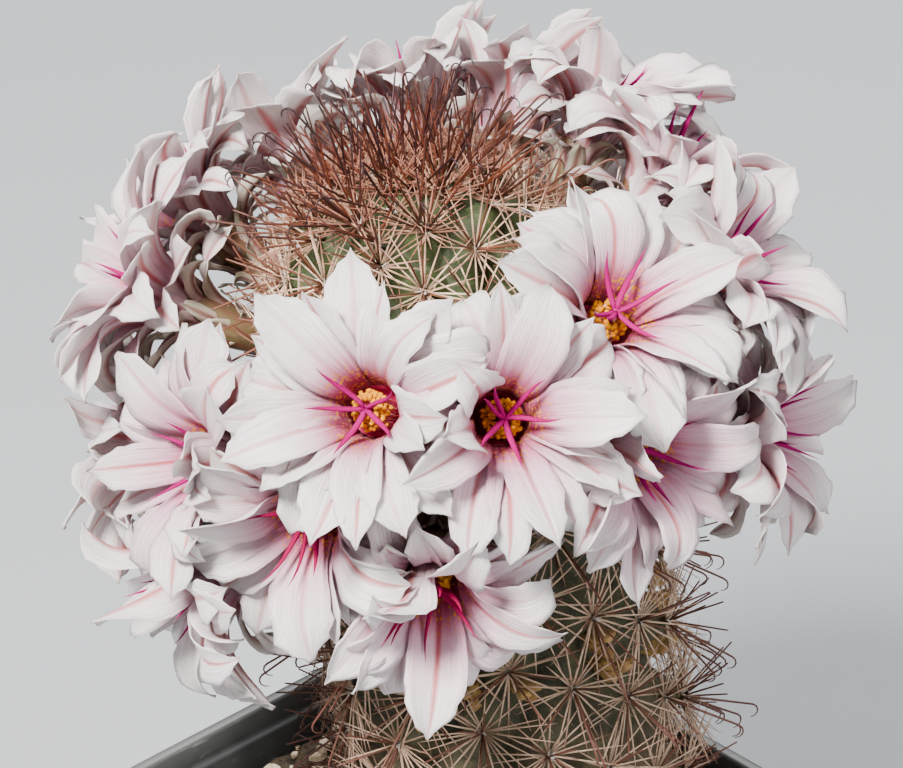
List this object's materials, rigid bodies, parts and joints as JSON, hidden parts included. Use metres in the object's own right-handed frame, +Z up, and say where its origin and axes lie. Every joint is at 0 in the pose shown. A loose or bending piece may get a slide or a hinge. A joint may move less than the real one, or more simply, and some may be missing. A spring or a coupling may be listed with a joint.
{
  "type": "potted flowering cactus",
  "caption": "Flowering pincushion cactus with a ring of white, pink-throated blooms round its spiny stem, in a square plastic pot.",
  "frame": {"origin": "centre of the pot's flat underside", "axes": "+Z up; X and Y along the sides of the square pot; the picture looks from +X, -Y"},
  "size_m": [0.0955, 0.0974, 0.1704],
  "materials": {
    "pot_plastic": "satin",
    "potting_mix": "rough",
    "cactus_skin": "satin",
    "petals": "satin",
    "anthers": "matte",
    "stigma": "satin"
  },
  "bodies": {
    "root": {"pot": "pot_plastic", "soil": "potting_mix", "stem": "cactus_skin", "bloom_01": "petals", "stamens_01": "anthers", "pistil_01": "stigma", "bloom_02": "petals", "stamens_02": "anthers", "pistil_02": "stigma", "bloom_03": "petals", "stamens_03": "anthers", "pistil_03": "stigma", "bloom_04": "petals", "stamens_04": "anthers", "pistil_04": "stigma", "bloom_05": "petals", "stamens_05": "anthers", "pistil_05": "stigma", "bloom_06": "petals", "stamens_06": "anthers", "pistil_06": "stigma", "bloom_07": "petals", "stamens_07": "anthers", "pistil_07": "stigma", "bloom_08": "petals", "stamens_08": "anthers", "pistil_08": "stigma", "bloom_09": "petals", "stamens_09": "anthers", "pistil_09": "stigma", "bloom_10": "petals", "stamens_10": "anthers", "pistil_10": "stigma", "bloom_11": "petals", "stamens_11": "anthers", "pistil_11": "stigma", "bloom_12": "petals", "stamens_12": "anthers", "pistil_12": "stigma", "bloom_13": "petals", "stamens_13": "anthers", "pistil_13": "stigma", "bloom_14": "petals", "stamens_14": "anthers", "pistil_14": "stigma", "bloom_15": "petals", "stamens_15": "anthers", "pistil_15": "stigma", "bloom_16": "petals", "stamens_16": "anthers", "pistil_16": "stigma", "bloom_17": "petals", "stamens_17": "anthers", "pistil_17": "stigma", "bloom_18": "petals", "stamens_18": "anthers", "pistil_18": "stigma", "bloom_19": "petals", "stamens_19": "anthers", "pistil_19": "stigma"}
  },
  "joints": []
}
